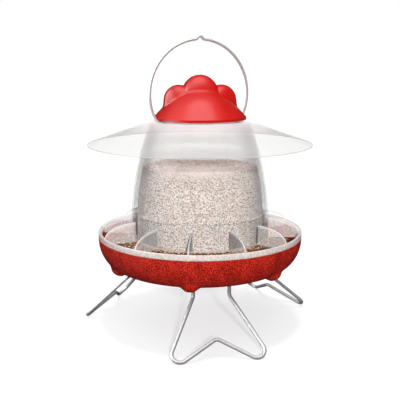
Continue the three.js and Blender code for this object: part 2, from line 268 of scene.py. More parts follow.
pebbledRedSettings = {
    "gritScale": 620,
    "patchScale": 60,
    "pitScale": 560,
    "patchShare": 0.15,  # of the tone, against the fine grit
    "pitDepth": 0.4,
    "bump": 0.0005,
    "rough": 0.45,
    "shine": 0.08,
    "stops": [(0.40, (0.16, 0.005, 0.003)), (0.50, (0.40, 0.013, 0.008)), (0.60, (0.69, 0.042, 0.025))],
}


def pebbledRed():
    s = pebbledRedSettings
    f = Finish("pebbledRed")
    grit = f.noise(s["gritScale"], 2, 0.7)
    patch = f.noise(s["patchScale"], 2, 0.5)
    pits = f.cells(s["pitScale"])
    tone = (grit * (1 - s["patchShare"]) + patch * s["patchShare"]).bounded()
    return f.done({
        "Base Color": f.ramp(tone, s["stops"]),
        "Roughness": (grit * 0.3 + s["rough"]).bounded(),
        "Normal": f.bump(grit + pits * s["pitDepth"], s["bump"], 0.6),
        "Specular IOR Level": s["shine"],
    })


glossRedSettings = {
    "cloudScale": 28,
    "streakScale": 900,
    "streakShape": (0.06, 0.06, 1),  # rings round the lid, from the mould's turning
    "bump": 0.00004,
    "rough": 0.27,
    "shine": 0.55,
    "deep": 0.15,  # share of light that goes in and comes out redder
    "deepRadius": (0.012, 0.002, 0.001),
    "deepScale": 0.4,
    "stops": [(0.3, (0.43, 0.005, 0.003)), (0.7, (0.49, 0.009, 0.006))],
}


def glossRed():
    s = glossRedSettings
    f = Finish("glossRed")
    cloud = f.noise(s["cloudScale"], 2, 0.5)
    streak = f.noise(s["streakScale"], 2, 0.5, f.stretched(*s["streakShape"]))
    return f.done({
        "Base Color": f.ramp(cloud, s["stops"]),
        "Roughness": (streak * 0.05 + s["rough"]).bounded(),
        "Normal": f.bump(streak, s["bump"], 0.5),
        "Subsurface Weight": s["deep"],
        "Subsurface Radius": s["deepRadius"],
        "Subsurface Scale": s["deepScale"],
        "Specular IOR Level": s["shine"],
    })


plasticSettings = {
    "cloudScale": 24,
    "cloudShare": 0.05,  # how much the slow clouding moves the alpha
    "fineScale": 330,
    "streakScale": (75, 75, 3),
    "bandSharpness": 1500,  # per metre, at both ends of a thin band
    "warm": (0.99, 0.985, 0.98),
    "light": (1, 0.97, 0.955),
    "bump": 0.0009,
}


def frostedPlastic(name, look):
    # alpha and tone are stops from 0, seen square on, to 1, seen along the wall;
    # thin lowers the alpha between two heights, in metres, and the pale bands raise it and pale the
    # colour there, partly frosting and partly painted light
    s = plasticSettings
    f = Finish(name)
    facing = f.node("ShaderNodeLayerWeight", {}, {"Blend": 0.5}).take("Facing")
    cloud = f.noise(s["cloudScale"], 3, 0.55)
    fine = f.noise(s["fineScale"], 2, 0.6)
    mottle = look.get("mottle", 0)
    alpha = f.ramp(facing, [(at, (value,) * 3) for at, value in look["alpha"]])
    alpha = alpha + (cloud - 0.5) * s["cloudShare"]
    if mottle:
        alpha = alpha + (fine - 0.5) * mottle
    if "streak" in look:  # faint upright streaks from the moulding
        alpha = alpha + (f.noise(1, 3, 0.5, f.stretched(*s["streakScale"])) - 0.5) * look["streak"]
    height = f.node("ShaderNodeSeparateXYZ", {}, {"Vector": f.place}).take("Z")
    if "thin" in look:
        thin = look["thin"]
        below = ((thin["to"] - height) * s["bandSharpness"]).bounded()
        above = ((height - thin["from"]) * s["bandSharpness"]).bounded()
        alpha = alpha * (1 - below * above * (1 - thin["share"]))
    colour = f.ramp(facing, [(at, tuple(value * c for c in s["warm"])) for at, value in look["tone"]])
    # painted light: the pale bands lighten what is seen through the wall, such as the feed's top
    for hazeAndPaintedLight in look.get("hazeAndPaintedLight", []):
        rise = ((height - hazeAndPaintedLight["from"]) * hazeAndPaintedLight["rise"]).bounded()
        fall = ((hazeAndPaintedLight["to"] - height) * hazeAndPaintedLight["fall"]).bounded()
        patchy = cloud * 0.8 + fine * hazeAndPaintedLight["grain"] + 0.5
        added = rise * fall * patchy * (1 - facing) * (1 - facing) * hazeAndPaintedLight["alpha"]
        colour = f.mixed((added / (alpha + added + 0.01)).bounded(), colour, hazeAndPaintedLight["colour"])
        alpha = alpha + added
    deep = tuple(c * (1 - mottle * 0.7) for c in look["tint"])
    speck = f.ramp(fine, [(0.3, deep), (0.7, look["tint"])])
    light = s["light"]
    if "paintedLidReflection" in look:  # painted reflection of the red lid: a pink cast and painted pink light of its own, close to the lid
        paintedLidReflection = look["paintedLidReflection"]
        radius = f.node("ShaderNodeVectorMath", {"operation": "LENGTH"},
                        {0: f.flattened()}).take("Value")
        near = ((paintedLidReflection["reach"] - radius) * paintedLidReflection["fade"]).bounded()
        speck = f.mixed(near * paintedLidReflection["amount"], speck, paintedLidReflection["colour"])
        light = f.mixed(near, light, paintedLidReflection["light"])
    values = {
        "Base Color": f.multiplied(colour, speck),
        "Roughness": (fine * 0.12 + look["rough"]).bounded(),
        "Alpha": alpha.bounded(),
        "Normal": f.bump(fine * 0.3 + cloud, s["bump"], look.get("ripple", 0.1)),
        "Specular IOR Level": look.get("shine", 0.6),
    }
    if "paintedGlow" in look:  # painted light: an emission that brightens the thin walls, standing in for light scattered through them
        values["Emission Color"] = light if isinstance(light, Signal) else (*light, 1)
        values["Emission Strength"] = look["paintedGlow"]
    return f.done(values)


steelSettings = {
    "drawnScale": 700,
    "drawnShape": (1, 1, 0.1),  # fine lines left by drawing the wire
    "bloomScale": 60,
    "bloomTone": 0.88,
    "bump": 0.00005,
}


def wireSteel(name, tone, metallic, rough):
    s = steelSettings
    f = Finish(name)
    drawn = f.noise(s["drawnScale"], 3, 0.6, f.stretched(*s["drawnShape"]))
    bloom = f.noise(s["bloomScale"], 3, 0.6)
    colour = f.ramp(bloom, [(0.3, tuple(c * s["bloomTone"] for c in tone)), (0.7, tone)])
    return f.done({
        "Base Color": colour,
        "Metallic": metallic,
        "Roughness": (drawn * 0.1 + bloom * 0.1 + rough).bounded(),
        "Normal": f.bump(drawn, s["bump"], 0.2),
    })


def looseGrain(name, stops, paintedGlow=0.0):
    # each grain's own tone comes from its attribute, with a little mottling on top; the emission is
    # painted light
    f = Finish(name)
    tone = f.node("ShaderNodeAttribute", {"attribute_name": "tone"}).take("Fac")
    mottle = f.noise(900, 2, 0.6)
    colour = f.ramp((tone + (mottle - 0.5) * 0.18).bounded(), stops)
    return f.done({
        "Base Color": colour,
        "Roughness": (mottle * 0.3 + 0.5).bounded(),
        "Normal": f.bump(mottle, 0.0004, 0.6),
        "Emission Color": colour,
        "Emission Strength": paintedGlow,
    })


def grainBed():
    f = Finish("grainBed")
    cell = f.cells(330)
    colour = f.ramp(cell, [(0.1, (0.66, 0.54, 0.46)), (0.6, (0.42, 0.32, 0.26))])
    return f.done({"Base Color": colour, "Roughness": 0.9, "Normal": f.bump(1 - cell, 0.001, 0.8)})


paleFloorSettings = {
    "tones": [(0.3, (0.365, 0.365, 0.365)), (0.7, (0.385, 0.385, 0.385))],
    "ownLight": 0.6,
    "rough": 0.75,
    "shine": 0.1,
}


def paleFloor():
    # a light table: part of its white is its own, so shadows on it stay pale
    s = paleFloorSettings
    f = Finish("paleFloor")
    cloud = f.noise(5, 2, 0.5)
    return f.done({
        "Base Color": f.ramp(cloud, s["tones"]),
        "Roughness": s["rough"],
        "Specular IOR Level": s["shine"],
        "Emission Color": (1, 1, 1, 1),
        "Emission Strength": s["ownLight"],
    })


# the glow numbers below are painted light: an emission of their own for the frosted plastics and the top
# grains
finishes = {
    "tray": pebbledRed(),
    "lid": glossRed(),
    "plate": frostedPlastic("finPlate", {
        "tint": (1.0, 0.94, 0.91), "tone": [(0, 0.86), (1, 0.78)],
        "alpha": [(0, 0.27), (0.5, 0.2), (1, 0.26)],
        "rough": 0.25, "mottle": 0.3, "ripple": 0.3, "paintedGlow": 0.16}),
    "rim": frostedPlastic("rimPlastic", {
        "tint": (1.0, 0.90, 0.85), "tone": [(0, 0.88), (1, 0.7)], "alpha": [(0, 0.62), (1, 0.8)],
        "rough": 0.25, "mottle": 0.4, "ripple": 0.3, "paintedGlow": 0.12,
        "thin": {"from": 0.1, "to": 0.1428, "share": 0.04}}),
    "collar": frostedPlastic("collarPlastic", {
        "tint": (1, 0.96, 0.94), "tone": [(0, 0.8), (0.4, 0.7), (0.6, 0.6), (1, 0.6)],
        "alpha": [(0, 0.005), (0.4, 0.01), (0.7, 0.03), (1, 0.12)], "rough": 0.2, "shine": 0.2}),
    "edge": frostedPlastic("polishedEdge", {
        "tint": (1, 1, 1), "tone": [(0, 0.85), (0.5, 0.75), (0.8, 0.3), (1, 0.2)],
        "alpha": [(0, 0.48), (1, 0.7)], "rough": 0.15, "paintedGlow": 0.08}),
    "shadeEdge": frostedPlastic("shadeEdge", {
        "tint": (1, 1, 1), "tone": [(0, 0.4), (1, 0.3)], "alpha": [(0, 0.55), (1, 0.6)],
        "rough": 0.2, "paintedGlow": 0.19}),
    "hopper": frostedPlastic("hopperPlastic", {
        "tint": (1, 1, 1),
        # painted shade: tone and alpha dip part way toward the sides, darkening the feed column's sides
        "tone": [(0, 0.8), (0.28, 0.5), (0.48, 0.33), (0.64, 0.33), (0.74, 0.46), (1, 0.55)],
        "alpha": [(0, 0.04), (0.2, 0.06), (0.35, 0.15), (0.52, 0.26), (0.66, 0.24), (0.76, 0.19),
                  (0.9, 0.2), (1, 0.4)],
        "rough": 0.18, "ripple": 0.03, "streak": 0.16,
        "thin": {"from": 0.1782, "to": 0.1846, "share": 0.54},
        # painted light: the lower pale band lightens the near half of the feed's top; the upper one
        # makes the wall above the feed paler
        "hazeAndPaintedLight": [{"from": 0.2400, "rise": 80, "to": 0.2690, "fall": 110, "grain": 1.6, "alpha": 0.2,
                  "colour": (0.98, 0.86, 0.81)},
                 {"from": 0.2730, "rise": 200, "to": 0.4, "fall": 1000, "grain": 0.1, "alpha": 0.2,
                  "colour": (0.95, 0.94, 0.93)}]}),
    "shade": frostedPlastic("shadePlastic", {
        "tint": (1, 1, 1), "tone": [(0, 0.32), (1, 0.3)], "alpha": [(0, 0.26), (0.8, 0.28), (1, 0.38)],
        "rough": 0.24, "ripple": 0.1, "shine": 1.0, "paintedGlow": 0.29,
        # painted reflection: a pink cast and pink light of its own on the shade near the lid, standing
        # in for the red lid's reflection
        "paintedLidReflection": {"reach": 0.112, "fade": 24, "amount": 0.3, "colour": (1.0, 0.78, 0.77),
                  "light": (3.1, 2.7, 2.7)}}),
    "legs": wireSteel("legSteel", (0.66, 0.66, 0.66), 0.7, 0.4),
    "bail": wireSteel("bailSteel", (0.80, 0.79, 0.78), 0.6, 0.3),
    "grain": looseGrain("hopperGrain", [
        (0.0, (0.60, 0.50, 0.46)), (0.3, (0.77, 0.65, 0.58)), (0.52, (0.77, 0.73, 0.71)),
        (0.78, (0.87, 0.79, 0.72)), (1.0, (0.88, 0.86, 0.84))]),
    # painted light: the top grains give off light of their own, lightening them where the lid and shade
    # shade them
    "topGrain": looseGrain("topGrain", [
        (0.0, (0.40, 0.28, 0.24)), (0.5, (0.82, 0.68, 0.62)), (1.0, (1.0, 0.95, 0.91))], 0.1),
    "pellets": looseGrain("troughPellets", [
        (0.0, (0.035, 0.016, 0.010)), (0.5, (0.16, 0.06, 0.03)),
        (0.8, (0.48, 0.27, 0.16)), (1.0, (0.74, 0.56, 0.42))]),
    "bed": grainBed(),
    "floor": paleFloor(),
}
print("finishes ready")


def gridQuads(rows, columns, wrapRows=False):
    # four neighbours of a grid whose points are numbered row by row, each row a closed ring
    row = np.arange(rows if wrapRows else rows - 1)
    i, j = np.meshgrid(row, np.arange(columns), indexing="ij")
    nextI, nextJ = (i + 1) % rows, (j + 1) % columns
    corners = [i * columns + j, nextI * columns + j, nextI * columns + nextJ, i * columns + nextJ]
    return np.stack(corners, -1).reshape(-1, 4)


def welded(points, quads):
    # points that lie together become one, and a quad with a lost side becomes a triangle
    _, first, where = np.unique(np.round(points, 4), axis=0, return_index=True, return_inverse=True)
    quads = where.reshape(-1)[quads]
    same = quads == np.roll(quads, -1, axis=1)
    lost = same.sum(1)
    triangles = quads[lost == 1][~same[lost == 1]].reshape(-1, 3)
    return points[first], quads[lost == 0], triangles, lost


def turnedOut(points, quads, triangles):
    # the volume under all faces is positive when they point out
    split = np.concatenate([quads[:, [0, 1, 2]], quads[:, [0, 2, 3]], triangles])
    a, b, c = (points[split[:, k]] for k in range(3))
    if (a * np.cross(b, c)).sum() < 0:
        return quads[:, ::-1], triangles[:, ::-1]
    return quads, triangles


def closedPart(points, quads, slots=0):
    # slots is one number, or one for each quad
    slots = np.broadcast_to(slots, len(quads))
    points, quads, triangles, lost = welded(np.asarray(points, float), quads)
    quads, triangles = turnedOut(points, quads, triangles)
    slots = np.concatenate([slots[lost == 0], slots[lost == 1]])
    return {"points": points, "quads": quads, "triangles": triangles, "slots": slots}


def makePiece(name, parts, body, materials, replaced=()):
    # joins closed parts into one smooth object that rides on a body
    points = np.concatenate([part["points"] for part in parts]) * mm
    starts = np.cumsum([0] + [len(part["points"]) for part in parts])
    faces, slots = [], []
    for part, start in zip(parts, starts):
        faces += (part["quads"] + start).tolist() + (part["triangles"] + start).tolist()
        slots += part["slots"].tolist()
    mesh = bpy.data.meshes.new(name)
    mesh.from_pydata(points.tolist(), [], faces)
    mesh.polygons.foreach_set("use_smooth", [True] * len(faces))
    for material in materials:
        mesh.materials.append(material)
    mesh.polygons.foreach_set("material_index", slots)
    mesh.update()
    mesh.set_sharp_from_angle(angle=math.radians(38))
    piece = bpy.data.objects.new(name, mesh)
    scene.collection.objects.link(piece)
    if replaced:
        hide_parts(*replaced)
    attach(piece, body)
    return piece


def turned(outline, turns):
    # a closed outline of [radius, height] points swept round the axis: x = r cos a, y = r sin a
    outline = np.asarray(outline, float)
    angle = np.linspace(0, 2 * np.pi, turns, endpoint=False)
    radius, height = outline[:, :1], outline[:, 1:]
    grid = np.stack([radius * np.cos(angle), radius * np.sin(angle), height + 0 * angle], -1)
    return grid, gridQuads(len(outline), turns, wrapRows=True)


def turnedPart(outline, turns=256, slots=0):
    grid, quads = turned(outline, turns)
    return closedPart(grid.reshape(-1, 3), quads, slots)


def eased(corners, bends, steps=6):
    # a closed outline with each corner cut by an arc-like quadratic of the given reach
    corners = np.asarray(corners, float)
    bends = np.asarray(bends, float)[:, None]
    back = np.roll(corners, 1, 0) - corners
    ahead = np.roll(corners, -1, 0) - corners
    backLength = np.linalg.norm(back, axis=1, keepdims=True)
    aheadLength = np.linalg.norm(ahead, axis=1, keepdims=True)
    start = corners + back / backLength * np.minimum(bends, backLength * 0.49)
    end = corners + ahead / aheadLength * np.minimum(bends, aheadLength * 0.49)
    t = np.linspace(0, 1, steps)[None, :, None]
    curve = (1 - t) ** 2 * start[:, None] + 2 * t * (1 - t) * corners[:, None] + t ** 2 * end[:, None]
    return curve.reshape(-1, 2)


def filletPath(corners, bends, stepAngle=6.0):
    # straight runs between corners, with an arc of the given radius at each inner corner
    corners = [np.asarray(corner, float) for corner in corners]
    path = [corners[0]]
    for corner, before, after, bend in zip(corners[1:-1], corners, corners[2:], bends):
        back = (before - corner) / np.linalg.norm(before - corner)
        ahead = (after - corner) / np.linalg.norm(after - corner)
        between = math.acos(np.clip(back @ ahead, -1, 1))
        middle = (back + ahead) / np.linalg.norm(back + ahead)
        centre = corner + middle * bend / math.sin(between / 2)
        start = corner + back * bend / math.tan(between / 2) - centre
        sideways = -back * bend
        turn = math.pi - between
        t = np.linspace(0, turn, max(3, int(math.degrees(turn) / stepAngle)))[:, None]
        path += list(centre + start * np.cos(t) + sideways * np.sin(t))
    path.append(corners[-1])
    return np.array(path)


def tubePart(path, radius, sides=20):
    # a circle carried along a path, with the frame turned as little as possible, closed by domes
    path = np.asarray(path, float)
    tangent = np.gradient(path, axis=0)
    tangent /= np.linalg.norm(tangent, axis=1, keepdims=True)
    side = np.cross(tangent[0], (0, 0, 1.0))
    if np.linalg.norm(side) < 0.1:
        side = np.cross(tangent[0], (1.0, 0, 0))
    carried = []
    for direction in tangent:
        side = side - direction * (side @ direction)
        side = side / np.linalg.norm(side)
        carried.append(side)
    sideways = np.array(carried)
    upward = np.cross(tangent, sideways)
    angle = np.linspace(0, 2 * np.pi, sides, endpoint=False)
    cap = np.linspace(np.pi / 2, 0, 5)[:-1]
    reach = np.concatenate([np.cos(cap), np.ones(len(path)), np.cos(cap)[::-1]])
    push = np.concatenate([-np.sin(cap), np.zeros(len(path)), np.sin(cap)[::-1]])
    index = np.clip(np.arange(len(reach)) - len(cap), 0, len(path) - 1)
    circle = (np.cos(angle)[:, None] * sideways[index][:, None] +
              np.sin(angle)[:, None] * upward[index][:, None])
    grid = (path[index][:, None] + circle * (radius * reach)[:, None, None] +
            (tangent[index] * (radius * push)[:, None])[:, None])
    return closedPart(grid.reshape(-1, 3), gridQuads(len(reach), sides))


def spun(points, angle):
    # turned round the vertical axis: x cos a - y sin a, x sin a + y cos a
    x, y, z = points[..., 0], points[..., 1], points[..., 2]
    newX = x * math.cos(angle) - y * math.sin(angle)
    newY = x * math.sin(angle) + y * math.cos(angle)
    return np.stack([newX, newY, z], -1)


def densePath(path, spacing):
    # points evenly spaced along a polyline
    gap = np.linalg.norm(np.diff(path, axis=0), axis=1)
    along = np.concatenate([[0], np.cumsum(gap)])
    even = np.linspace(0, along[-1], int(along[-1] / spacing) + 2)
    return np.stack([np.interp(even, along, path[:, k]) for k in range(path.shape[1])], -1)


traySettings = {
    "bottom": 92.2,
    "floorRadius": 111.4,
    "wall": 2.5,
    "curve": 2.6,  # how square the bowl's corner is
    "coneRadius": 66,
    "coneTop": 127,
    "footRing": 136,
    "footCount": 6,
    "footFirst": -15,  # degrees from -Y
    "footHeight": 7.0,
    "footWidth": 11.5,
    "footBlunt": 3.4,  # power of the bell, higher is flatter on top
    "lipRound": 0.5,
    "cornerWall": 1.6,  # how much smaller the inside's floor is
    "insideStep": 2.5,  # spacing of the outline's points
    "outsideStep": 1.3,
    "turns": 480,
}


def bowlWall(floorRadius, rimRadius, floorZ, rimZ, steps):
    # superellipse quarter: radius falls from rim to floor as (1 - drop^2)^(1 / curve)
    drop = np.sin(np.linspace(0, np.pi / 2, steps))
    reach = (1 - drop ** 2) ** (1 / traySettings["curve"])
    radius = floorRadius + (rimRadius - floorRadius) * reach
    return np.stack([radius, rimZ - (rimZ - floorZ) * drop], -1)


def makeTray():
    # two bowl walls joined by a lip, and a low cone in the middle, turned round the axis
    s = traySettings
    rimRadius, rimZ = trayHigh[0], trayHigh[2]
    wallTop = rimZ - s["lipRound"]
    outside = bowlWall(s["floorRadius"], rimRadius, s["bottom"], wallTop, 400)
    outside = densePath(outside, s["outsideStep"])
    inside = bowlWall(s["floorRadius"] - s["cornerWall"], rimRadius - s["wall"], s["bottom"] + s["wall"],
                      wallTop, 200)
    inside = densePath(inside, s["insideStep"])[::-1]
    under = np.array([[s["coneRadius"] - 1, s["bottom"]], [4, s["coneTop"] - 5], [0, s["coneTop"] - 3]])
    over = np.array([[0, s["coneTop"]], [5, s["coneTop"] - 1.5],
                     [s["coneRadius"] + 2, s["bottom"] + s["wall"]]])
    lip = np.array([[rimRadius - s["wall"] + 0.4, rimZ], [rimRadius - 0.4, rimZ]])
    outline = np.concatenate([over, inside, lip, outside, under])
    grid, quads = turned(outline, s["turns"])
    firstOut = len(over) + len(inside) + len(lip)
    lastOut = firstOut + len(outside)

    # each short foot is a blunt bell: height times exp(-(distance / width)^blunt), out along the wall
    wall = outline[firstOut:lastOut]
    slope = np.gradient(wall, axis=0)
    normal = np.stack([slope[:, 1], -slope[:, 0]], -1)
    normal /= -np.linalg.norm(normal, axis=1, keepdims=True)
    ring = grid[firstOut]
    angle = np.arctan2(ring[:, 1], ring[:, 0])
    step = 2 * np.pi / s["footCount"]
    first = math.radians(s["footFirst"] - 90)
    offset = (angle - first + step / 2) % step - step / 2
    arc = np.concatenate([[0], np.cumsum(np.linalg.norm(np.diff(wall, axis=0), axis=1))])
    centre = np.interp(-s["footRing"], -wall[:, 0], arc)
    distance = np.hypot((arc - centre)[:, None], offset[None, :] * s["footRing"])
    push = s["footHeight"] * np.exp(-(distance / s["footWidth"]) ** s["footBlunt"])
    radial = normal[:, :1] * push
    outward = grid[firstOut:lastOut, :, :2]
    outward = outward / np.maximum(np.linalg.norm(outward, axis=-1, keepdims=True), 1e-9)
    grid[firstOut:lastOut, :, :2] += outward * radial[..., None]
    grid[firstOut:lastOut, :, 2] += normal[:, 1:] * push
    parts = [closedPart(grid.reshape(-1, 3), quads)]
    makePiece("tray_moulding", parts, "tray", [finishes["tray"]], ["tray"])


makeTray()
print("tray made")


grilleSettings = {
    "finCount": 12,
    "finFirst": 15,
    "plate": 0.7,  # half thickness
    "bead": 1.0,  # radius of the rounded top edge
    "top": 169.2,
    "outerZ": 148,
    "fall": 49,
    "wall": 2.1,
    "innerRim": 154.4,
    "lip": 2.4,  # the rim's top steps down this far from its inner edge
    "step": 1.3,
}


def rimOutline():
    # a band that sits on the tray's edge and reaches down inside it, with a small step on top
    s = grilleSettings
    outer, top, under = rimHigh[0], rimHigh[2], trayHigh[2] + 0.3
    inner = s["innerRim"]
    lip, step = inner + s["lip"], top - s["step"]
    corners = [(outer, under), (outer, top), (lip + 0.5, top), (lip, step), (inner + 0.3, step),
               (inner, rimLow[2]), (trayHigh[0] - 3.7, rimLow[2]), (trayHigh[0] - 3.1, under)]
    return eased(corners, [0.5, 1.6, 0.6, 0.4, 1.4, 0.5, 0.5, 0.3])


def collarOutline():
    # a plain upright band round the hopper's foot
    s = grilleSettings
    outer, low, top = collarHigh[0], collarLow[2], collarHigh[2]
    corners = [(outer, low), (outer, top), (outer - s["wall"], top), (outer - s["wall"], low)]
    return eased(corners, [0.6, 1.0, 0.6, 0.6])


def finPart(angle):
    # a keyhole section, thin plate with a round bead on top, carried out along the fin's top curve
    s = grilleSettings
    inner, outer, low = collarHigh[0] - 0.8, s["innerRim"] + 0.4, collarLow[2]
    t = np.sin(np.linspace(0, np.pi / 2, 30))
    radius = inner + (outer - inner) * t
    fall = np.clip((radius - inner) / s["fall"], 0, 0.985)
    top = s["outerZ"] + (s["top"] - s["outerZ"]) * np.sqrt(1 - fall ** 2)
    bottom = np.full_like(top, low)
    rimTop, rimEdge = rimHigh[2], rimHigh[0]
    overRadius = np.array([outer + 1.6, outer + 3.2, rimEdge - 1.3, rimEdge - 0.75, rimEdge - 0.72])
    overTop = np.array([rimTop - 0.5, rimTop - 0.75, rimTop - 1.4, rimTop - 3.0, rimTop - 8.0])
    radius = np.concatenate([radius, overRadius])
    top = np.concatenate([top, overTop])
    bottom = np.concatenate([bottom, overTop - 2 * s["bead"]])
    arc = np.linspace(-0.25 * np.pi, 1.25 * np.pi, 11)
    beadAcross, beadUp = s["bead"] * np.cos(arc), s["bead"] * np.sin(arc)
    across = np.concatenate([[s["plate"], s["plate"]], beadAcross, [-s["plate"], -s["plate"]]])
    count = len(radius)
    height = np.concatenate([
        np.stack([bottom, np.maximum(top - 3 * s["bead"], bottom)], -1),
        top[:, None] + beadUp[None, :],
        np.stack([np.maximum(top - 3 * s["bead"], bottom), bottom], -1)], axis=1)
    section = np.stack([np.repeat(radius[:, None], len(across), 1),
                        np.repeat(across[None, :], count, 0), height], -1)
    ends = [np.repeat(section[k].mean(0)[None], len(across), 0)[None] for k in (0, -1)]
    grid = np.concatenate([ends[0], section, ends[1]])
    points = spun(grid, angle).reshape(-1, 3)
    plateOrBead = np.concatenate([[0], np.full(len(arc) + 1, 3), [0, 0]])
    return closedPart(points, gridQuads(count + 2, len(across)), np.tile(plateOrBead, count + 1))


def makeGrille():
    s = grilleSettings
    parts = [turnedPart(rimOutline(), 256, 1), turnedPart(collarOutline(), 192, 2)]
    for k in range(s["finCount"]):
        parts.append(finPart(math.radians(s["finFirst"] - 90 + k * 360 / s["finCount"])))
    names = ["grille_rim", "grille_collar"] + [f"grille_fin_{k + 1:02d}" for k in range(s["finCount"])]
    looks = [finishes[key] for key in ("plate", "rim", "collar", "edge")]
    makePiece("grille_moulding", parts, "tray", looks, names)


makeGrille()
print("grille made")


legSettings = {
    "wire": 2.75,  # half its thickness
    "spacing": 2.2,
    "stubRadius": 106.2,
    "stubSide": 26.8,
    "knee": 72.3,
    "toe": (188.4, 82.4, -12),  # where the straight runs would cross: out, side, height
    "notch": 24.8,
    "bends": [8, 11.8, 9, 11.8, 8],
    "sides": 24,
}


def legPath():
    # down from one socket, out to a toe, back to a notch, and the same mirrored: rounded straight runs
    s = legSettings
    out, side, low = s["toe"]
    lean = (s["knee"] - s["notch"]) / (s["knee"] - low)
    notchOut = s["stubRadius"] + lean * (out - s["stubRadius"])
    top = legHigh[2]
    right = [(s["stubSide"], -s["stubRadius"], top), (s["stubSide"], -s["stubRadius"], s["knee"]),
             (side, -out, low)]
    left = [(-x, y, z) for x, y, z in reversed(right)]
    path = filletPath([*right, (0, -notchOut, s["notch"]), *left], s["bends"], 5)
    lift = legLow[2] + s["wire"] - path[:, 2].min()
    path[1:-1, 2] += lift
    return path


def makeLegs():
    # one wire path, turned to three places a third of a turn apart
    s = legSettings
    path = densePath(legPath(), s["spacing"])
    for name, turn in (("leg_front", 0), ("leg_right", 120), ("leg_left", 240)):
        part = tubePart(spun(path, math.radians(turn)), s["wire"], s["sides"])
        makePiece(name + "_wire", [part], "tray", [finishes["legs"]], [name])


makeLegs()
print("legs made")


hopperSettings = {
    "wall": 2.6,
    "spigot": 103.6,
    "seat": 179.6,
    "bead": 107.5,
    "bodyLow": 184,
    "bodyTop": 316,
    "lowRadius": 107.2,
    "topRadius": 78.4,
    "bulge": 5.0,
    "shoulder": 318.4,
    "neck": 64.5,
}


def bodyRadius(z):
    # straight taper plus a bulge of 4 b t (1 - t)
    s = hopperSettings
    t = (z - s["bodyLow"]) / (s["bodyTop"] - s["bodyLow"])
    return s["lowRadius"] + (s["topRadius"] - s["lowRadius"]) * t + 4 * s["bulge"] * t * (1 - t)


def makeHopper():
    # spigot, flange, outside wall, shoulder, neck and inside wall in one outline turned round the axis
    s = hopperSettings
    z = np.linspace(s["bodyLow"], s["bodyTop"], 34)
    outside = np.stack([bodyRadius(z), z], -1)
    inside = np.stack([bodyRadius(z) - s["wall"], z - 1.2 * (z > s["bodyTop"] - 1)], -1)[::-1]
    low = eased([(s["spigot"] - s["wall"], hopperLow[2]), (s["spigot"], hopperLow[2]),
                 (s["spigot"], s["seat"]), (s["bead"], s["seat"]), (s["bead"], s["seat"] + 2.8),
                 (s["lowRadius"] + 0.3, s["seat"] + 4.0), (s["lowRadius"] - s["wall"], s["seat"] + 1),
                 (s["spigot"] - s["wall"], s["seat"] - 2)], [0.8, 0.8, 0.3, 1.0, 1.2, 0.4, 2, 2], 4)
    steps = 4
    lowOut, lowIn = low[:6 * steps], low[6 * steps:]
    top = eased([(s["topRadius"] + 0.3, s["bodyTop"] - 2), (s["topRadius"] - 1.0, s["shoulder"]),
                 (s["neck"], s["shoulder"]), (s["neck"], hopperHigh[2]),
                 (s["neck"] - 2.2, hopperHigh[2]), (s["neck"] - 2.2, s["shoulder"] - 2.4),
                 (s["topRadius"] - s["wall"] - 1, s["shoulder"] - 2.8)],
                [0.2, 3.0, 1.0, 0.8, 0.8, 1.0, 1.0], steps)[steps:]
    outline = np.concatenate([lowOut, outside[1:-1], top, inside[1:-1], lowIn])
    makePiece("hopper_barrel", [turnedPart(outline)], "hopper", [finishes["hopper"]],
              ["hopper"])


makeHopper()
print("hopper made")


shadeSettings = {
    "rimZ": 286.5,
    "crease": 76,
    "top": 320.9,
    "hole": 69,
    "thick": 2.0,
    "edgeRows": 11,  # outline points, from the first, that are the polished rim
    "turns": 256,
}


def makeShade():
    # a thin cone with a flat ring at its top, turned round the axis
    s = shadeSettings
    rim = shadeHigh[0]
    slope = (s["top"] - s["rimZ"]) / (rim - s["crease"])
    drop = s["thick"] * math.hypot(1, slope)
    corners = [(rim, s["rimZ"] - drop + 0.7), (rim, s["rimZ"]), (s["crease"], s["top"]),
               (s["hole"], s["top"]), (s["hole"], s["top"] - s["thick"]),
               (s["crease"] - 0.6, s["top"] - s["thick"]), (rim - 0.7, s["rimZ"] - drop + 0.5)]
    outline = eased(corners, [0.6, 0.6, 5, 0.6, 0.6, 4, 0.3], 6)
    slots = np.repeat(np.arange(len(outline)) < s["edgeRows"], s["turns"]).astype(int)
    makePiece("shade_cone", [turnedPart(outline, s["turns"], slots)], "hopper",
              [finishes["shade"], finishes["shadeEdge"]], ["rain_shade"])


makeShade()
print("shade made")


lidSettings = {
    "flareZ": 327.4,
    "skirt": 3.0,  # how far the rim hangs below the flare
    "fold": 1.7,  # height of the moulded line where the comb leaves the dome
    "top": 370,
    "dome": 72,  # radius of the dome's arc
    "domeEdge": 52,
    "wall": 2.0,
    "lobes": [(-33, 353, 23), (0, 363, 27.8), (33, 353, 23)],  # centre x, z and radius
    "combLength": 57,
    "combWidth": 26.5,
    "combBase": 344,
    "plug": 61.6,
    "plugLow": 327.5,
    "foldSpread": 1.3,
    "softening": 2,  # passes
    "rimWall": 2.2,
    "ringsIn": 150,  # fine rings under the comb, and coarse ones out to the edge
    "ringsOut": 16,
    "turns": 400,
}


def domeHeight(radius):
    # an arc in the middle, then a straight flare down to the edge
    s = lidSettings
    arcTop = s["top"] - s["dome"] + np.sqrt(np.maximum(s["dome"] ** 2 - radius ** 2, 1))
    edgeZ = s["top"] - s["dome"] + math.sqrt(s["dome"] ** 2 - s["domeEdge"] ** 2)
    share = (radius - s["domeEdge"]) / (lidHigh[0] - s["domeEdge"])
    flare = edgeZ + (s["flareZ"] - edgeZ) * share
    return np.where(radius < s["domeEdge"], arcTop, flare)


